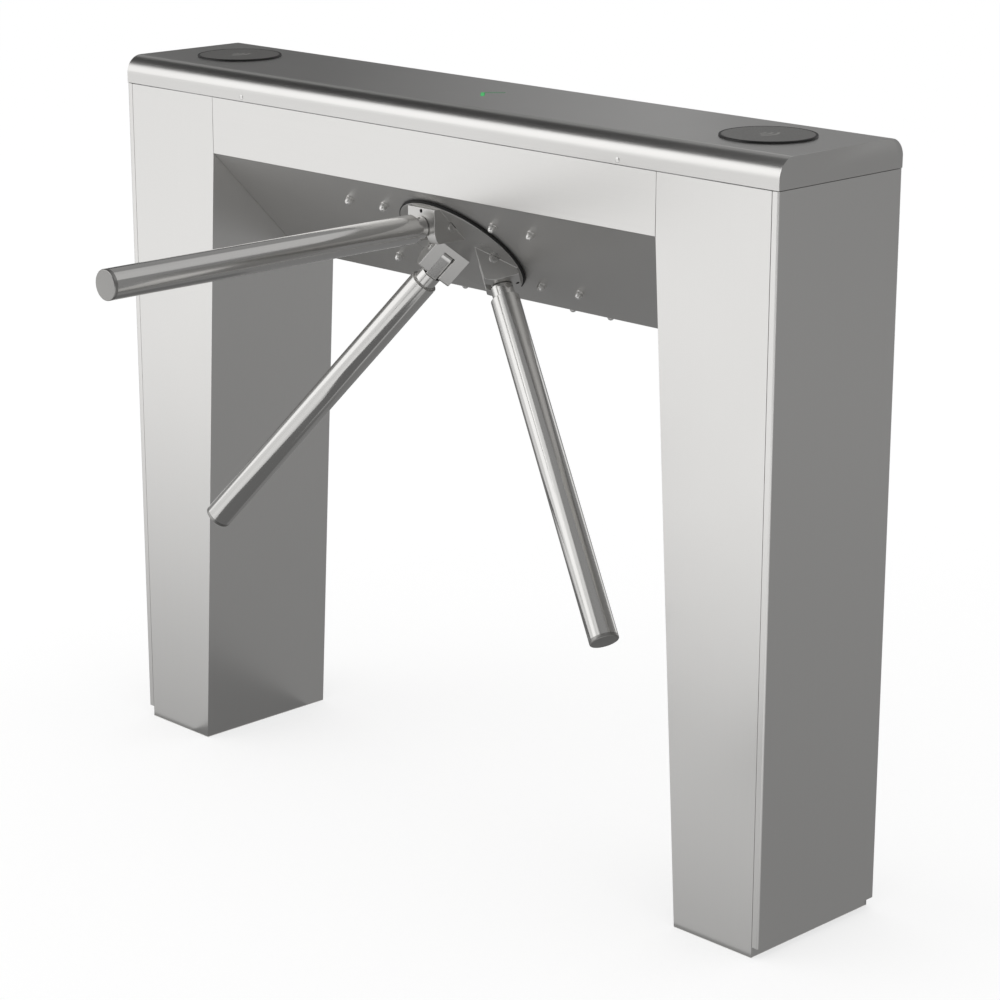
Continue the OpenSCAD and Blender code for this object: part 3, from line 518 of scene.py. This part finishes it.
def domed_nuts():
    """Eight nuts on the panel and four under the beam, each a washer, a hexagon and a dome."""
    places = [HUB @ at(x, side * NUT_SLOPE, 0) for x in NUT_XS for side in (-1, 1)]
    places += [at(x, UNDER_NUT_Y, BEAM_LOW) @ rotation(180, "X") for x in NUT_XS]
    washer = [(3.2, 0), (6, 0), (6, 0.8), (5.8, 1), (3.2, 1)]
    dome_radius = 4.6
    dome = [(0, 4.8), (dome_radius, 4.8)] + corner(0, 5, dome_radius, 8)
    bm = bmesh.new()
    revolve(bm, washer, places, SMALL_STEPS)
    revolve(bm, dome, places, SMALL_STEPS)
    hexagon_radius = 5.6
    hexagon_high = 4
    hexagon = bmesh.new()
    bmesh.ops.create_cone(hexagon, cap_ends=True, segments=6, radius1=hexagon_radius * MM,
                          radius2=hexagon_radius * MM, depth=hexagon_high * MM, matrix=at(0, 0, 3))
    bmesh.ops.bevel(hexagon, geom=hexagon.edges[:], offset=0.35 * MM, offset_type="OFFSET", affect="EDGES",
                    segments=2, profile=0.5, material=-1)
    add_copies(bm, hexagon, places)
    piece("domed_nuts", bm, "cap_nuts", "nut")


def readers():
    """Each reader is a smoked disc in a black lip, with a faint card symbol of arcs."""
    lip_in = READER_RADIUS - 3
    lip_top = ROOF + READER_RISE
    rounding = 1
    lip = ([(lip_in, ROOF + CLEAR), (READER_RADIUS, ROOF + CLEAR)]
           + corner(READER_RADIUS - rounding, lip_top - rounding, rounding) + [(lip_in, lip_top)])
    face = lip_top - 0.1
    chamfer = 0.3
    foot = READER_RADIUS - 4.3
    foot_low = ROOF - 8
    disc = [(0, foot_low), (foot, foot_low), (foot, ROOF), (lip_in, ROOF), (lip_in, face - chamfer),
            (lip_in - chamfer, face), (0, face)]
    for side, name in ((-1, "left"), (1, "right")):
        node = "reader_window_" + name
        places = [at(side * READER_X, 0, 0)]
        turned("reader_lip_" + name, lip, places, DISC_STEPS, node, "black_plastic", replaces=False)
        turned("reader_disc_" + name, disc, places, DISC_STEPS, node, "smoked")
        bm = bmesh.new()
        for radius in (7, 15, 23):
            arc(bm, radius, at(side * READER_X - 14, 0, face - CLEAR))
        piece("reader_arcs_" + name, bm, node, "mark", replaces=False)


def arc(bm, radius, place):
    """A thin flat stripe round a quarter of a circle, printed on the face."""
    width = 3.2
    thick = 0.06
    low = radius - width / 2
    high = radius + width / 2
    part = bmesh.new()
    section = [part.verts.new(rotation(-45, "Z") @ metres(x, 0, z))
               for x, z in ((low, 0), (high, 0), (high, thick), (low, thick))]
    bmesh.ops.spin(part, geom=[part.faces.new(section)], cent=(0, 0, 0), axis=(0, 0, 1),
                   angle=math.radians(90), steps=14, use_merge=False)
    add_copies(bm, part, [place])


def small_screws():
    """Low screw heads in the lid's front edge, and flat ones on the hinge leaves."""
    screw = [(0, -11), (2, -11), (2, CLEAR), (3.5, CLEAR), (3.4, 0.35), (3.0, 0.6), (2.0, 0.8), (0, 0.9)]
    nut = [(2, -10.6), (3.6, -10.6), (3.6, -7.6), (2, -7.6)]
    hexagon_steps = 6
    forward = rotation(90, "X")
    places = [at(side * LID_SCREW_X, CABINET_FRONT, LID_SCREW_Z) @ forward for side in (-1, 1)]
    bm = bmesh.new()
    revolve(bm, screw, places, SMALL_STEPS)
    revolve(bm, nut, places, hexagon_steps)
    piece("lid_edge_screws", bm, "lid_screws", "satin_level")

    flat = [(0, CLEAR), (2.6, CLEAR), (2.6, 0.2), (2.3, 0.35), (1.0, 0.35), (0.9, 0.15), (0, 0.15)]
    leaf = CABINET_BACK + HINGE_LEAF_THICK
    backward = rotation(-90, "X")
    for name, node, above_seam in (("upper", "lid_hinge_moving", 18), ("lower", "lid_hinge_fixed", -18)):
        places = [at(x + dx, leaf, SEAM_Z + above_seam) @ backward for x in HINGE_XS for dx in (-16, 0, 16)]
        turned("hinge_screws_" + name, flat, places, TINY_STEPS, node, "bright", replaces=False)


sheet_metal()
rotor()
arms()
domed_nuts()
readers()
small_screws()


# Camera, surroundings and lamp


def make_camera():
    azimuth = math.radians(CAMERA_AZIMUTH)
    elevation = math.radians(CAMERA_ELEVATION)
    back = Vector((math.sin(azimuth) * math.cos(elevation),
                   -math.cos(azimuth) * math.cos(elevation), math.sin(elevation)))
    data = bpy.data.cameras.new("photo_camera")
    data.lens = LENS_MM
    data.sensor_width = SENSOR_MM
    camera = bpy.data.objects.new("photo_camera", data)
    bpy.context.scene.collection.objects.link(camera)
    facing = (-back).to_track_quat("-Z", "Y").to_matrix().to_4x4()
    camera.matrix_world = Matrix.Translation(CAMERA_PLACE) @ facing @ rotation(CAMERA_ROLL, "Z")
    bpy.context.scene.camera = camera


def seen_ray(material):
    """1 for rays that show the background itself: camera, glossy and transmission rays."""
    path = add(material, "LightPath").outputs
    first = math_node(material, "MAXIMUM", path["Is Camera Ray"], path["Is Glossy Ray"])
    return math_node(material, "MAXIMUM", first, path["Is Transmission Ray"])


def make_world():
    """White where it is seen, and a little less as light."""
    as_light = 0.8
    as_seen = 1.0
    world = bpy.data.worlds.new("studio")
    world.use_nodes = True
    world.node_tree.nodes.clear()
    strength = remap(world, seen_ray(world), 0, 1, as_light, as_seen)
    background = add(world, "Background", {"Color": WHITE, "Strength": strength})
    add(world, "OutputWorld", {"Surface": background.outputs[0]})
    bpy.context.scene.world = world


def plane(name, corners, material):
    bm = bmesh.new()
    bm.faces.new([bm.verts.new(c) for c in corners])
    mesh = bpy.data.meshes.new(name)
    bm.to_mesh(mesh)
    bm.free()
    mesh.materials.append(material)
    item = bpy.data.objects.new(name, mesh)
    bpy.context.scene.collection.objects.link(item)
    return item


def level(x0, x1, y0, y1, z):
    """Corners of a level rectangle, in metres."""
    return [(x0, y0, z), (x1, y0, z), (x1, y1, z), (x0, y1, z)]


def ceiling(x0, x1, y0, y1):
    return level(x0, x1, y0, y1, ROOM_HIGH)


def ground(x0, x1, y0, y1, z=0.001):
    return level(x0, x1, y0, y1, z)


def wall(x0, y0, x1, y1, top=ROOM_HIGH):
    """Corners of an upright rectangle between two points of the floor, in metres."""
    return [(x0, y0, 0), (x1, y1, 0), (x1, y1, top), (x0, y0, top)]


def make_floor():
    """Pale floor: white where it is seen, with the object's soft shadow, and plain grey to other light."""
    material = new_material("pale_floor")
    matt = add(material, "BsdfDiffuse", {"Color": grey(0.6)})
    pale = add(material, "BsdfDiffuse", {"Color": grey(0.45)})
    own = add(material, "Emission", {"Color": WHITE, "Strength": 0.64})
    white = add(material, "AddShader", {0: pale.outputs[0], 1: own.outputs[0]})
    shader = add(material, "MixShader", {0: seen_ray(material), 1: matt.outputs[0], 2: white.outputs[0]})
    finish_material(material, shader)
    half = 40
    plane("floor", level(-half, half, -half, half, 0), material)


def card(name, brightness, corners):
    """A studio card that only reflections see. Its brightness is a number, or a run along an axis."""
    material = new_material(name)
    if isinstance(brightness, tuple):
        axis, start, end, at_start, at_end = brightness
        brightness = remap(material, axis_of(material, axis), start, end, at_start, at_end)
    finish_material(material, add(material, "Emission", {"Color": WHITE, "Strength": brightness}))
    item = plane(name, corners, material)
    item.visible_camera = False
    item.visible_diffuse = False
    item.visible_shadow = False
    item.visible_transmission = False


def make_lamp(name, place, target, size, power):
    data = bpy.data.lights.new(name, "AREA")
    data.shape = "RECTANGLE"
    data.size, data.size_y = size
    data.energy = power
    lamp = bpy.data.objects.new(name, data)
    lamp.location = place
    lamp.rotation_euler = (Vector(target) - Vector(place)).to_track_quat("-Z", "Y").to_euler()
    bpy.context.scene.collection.objects.link(lamp)


make_camera()
make_world()
make_floor()
# Floor, bright towards the walkway and dim near the cabinet and behind it
card("front_floor_card", ("y", -1.5, -0.15, 1.0, 0.48), ground(-6, 5, -6, -0.12))
card("rear_floor_card", ("y", 0.1, 2.2, 0.25, 0.3), ground(-6, 5, -0.12, 3))
# Dark patches below the arms and brackets, for the dark bands on the tubes
card("arm_floor_card", 0.17, ground(-0.5, -0.02, -0.62, 0.08, 0.002))
card("under_arm_card", 0.17, ground(-0.34, 0.0, -0.5, -0.14, 0.25))
card("under_root_card", 0.17, ground(-0.15, 0.06, -0.48, -0.12, 0.45))
card("bracket_floor_card", 0.2, ground(0.13, 0.45, -0.92, -0.6, 0.003))
# Walls of a grey room, with a light panel behind the cabinet
card("back_card", ("x", -3.75, -2.35, 0.13, 0.39), wall(-5, 3, -2.2, 3))
card("back_right_card", 0.28, wall(-2.2, 3, 4, 3))
card("back_light_card", 1.0, wall(-0.3, 2.99, 0.6, 2.99, 1.6))
card("left_card", 0.35, wall(-5, -1.8, -5, 3))
card("right_card", 0.30, wall(4, -5, 4, 3))
card("camera_side_card", 0.12, wall(-0.9, -5, 4, -5))
# Ceiling, dark on the left and lighter over the rear
card("ceiling_card", ("x", -1.6, -0.2, 0.03, 0.35), ceiling(-8, 4, -2.2, 1.2))
card("front_ceiling_card", 0.3, ceiling(0.5, 4, -5, -2.2))
card("rear_ceiling_card", 0.34, ceiling(-8, -0.3, 1.2, 3))
card("rear_ceiling_light_card", 0.65, ceiling(-0.3, 4, 1.2, 3))
# Windows at the left, behind the soft box
card("window_card", 0.92, wall(-5, -5, -5, -1.8))
card("front_window_card", 0.92, wall(-5, -5, -0.9, -5))
make_lamp("key_softbox", place=(-2.8, -3.1, 2.6), target=(0, 0, 0.8), size=(3.8, 3.2), power=18)

bpy.context.scene.view_settings.view_transform = "Standard"
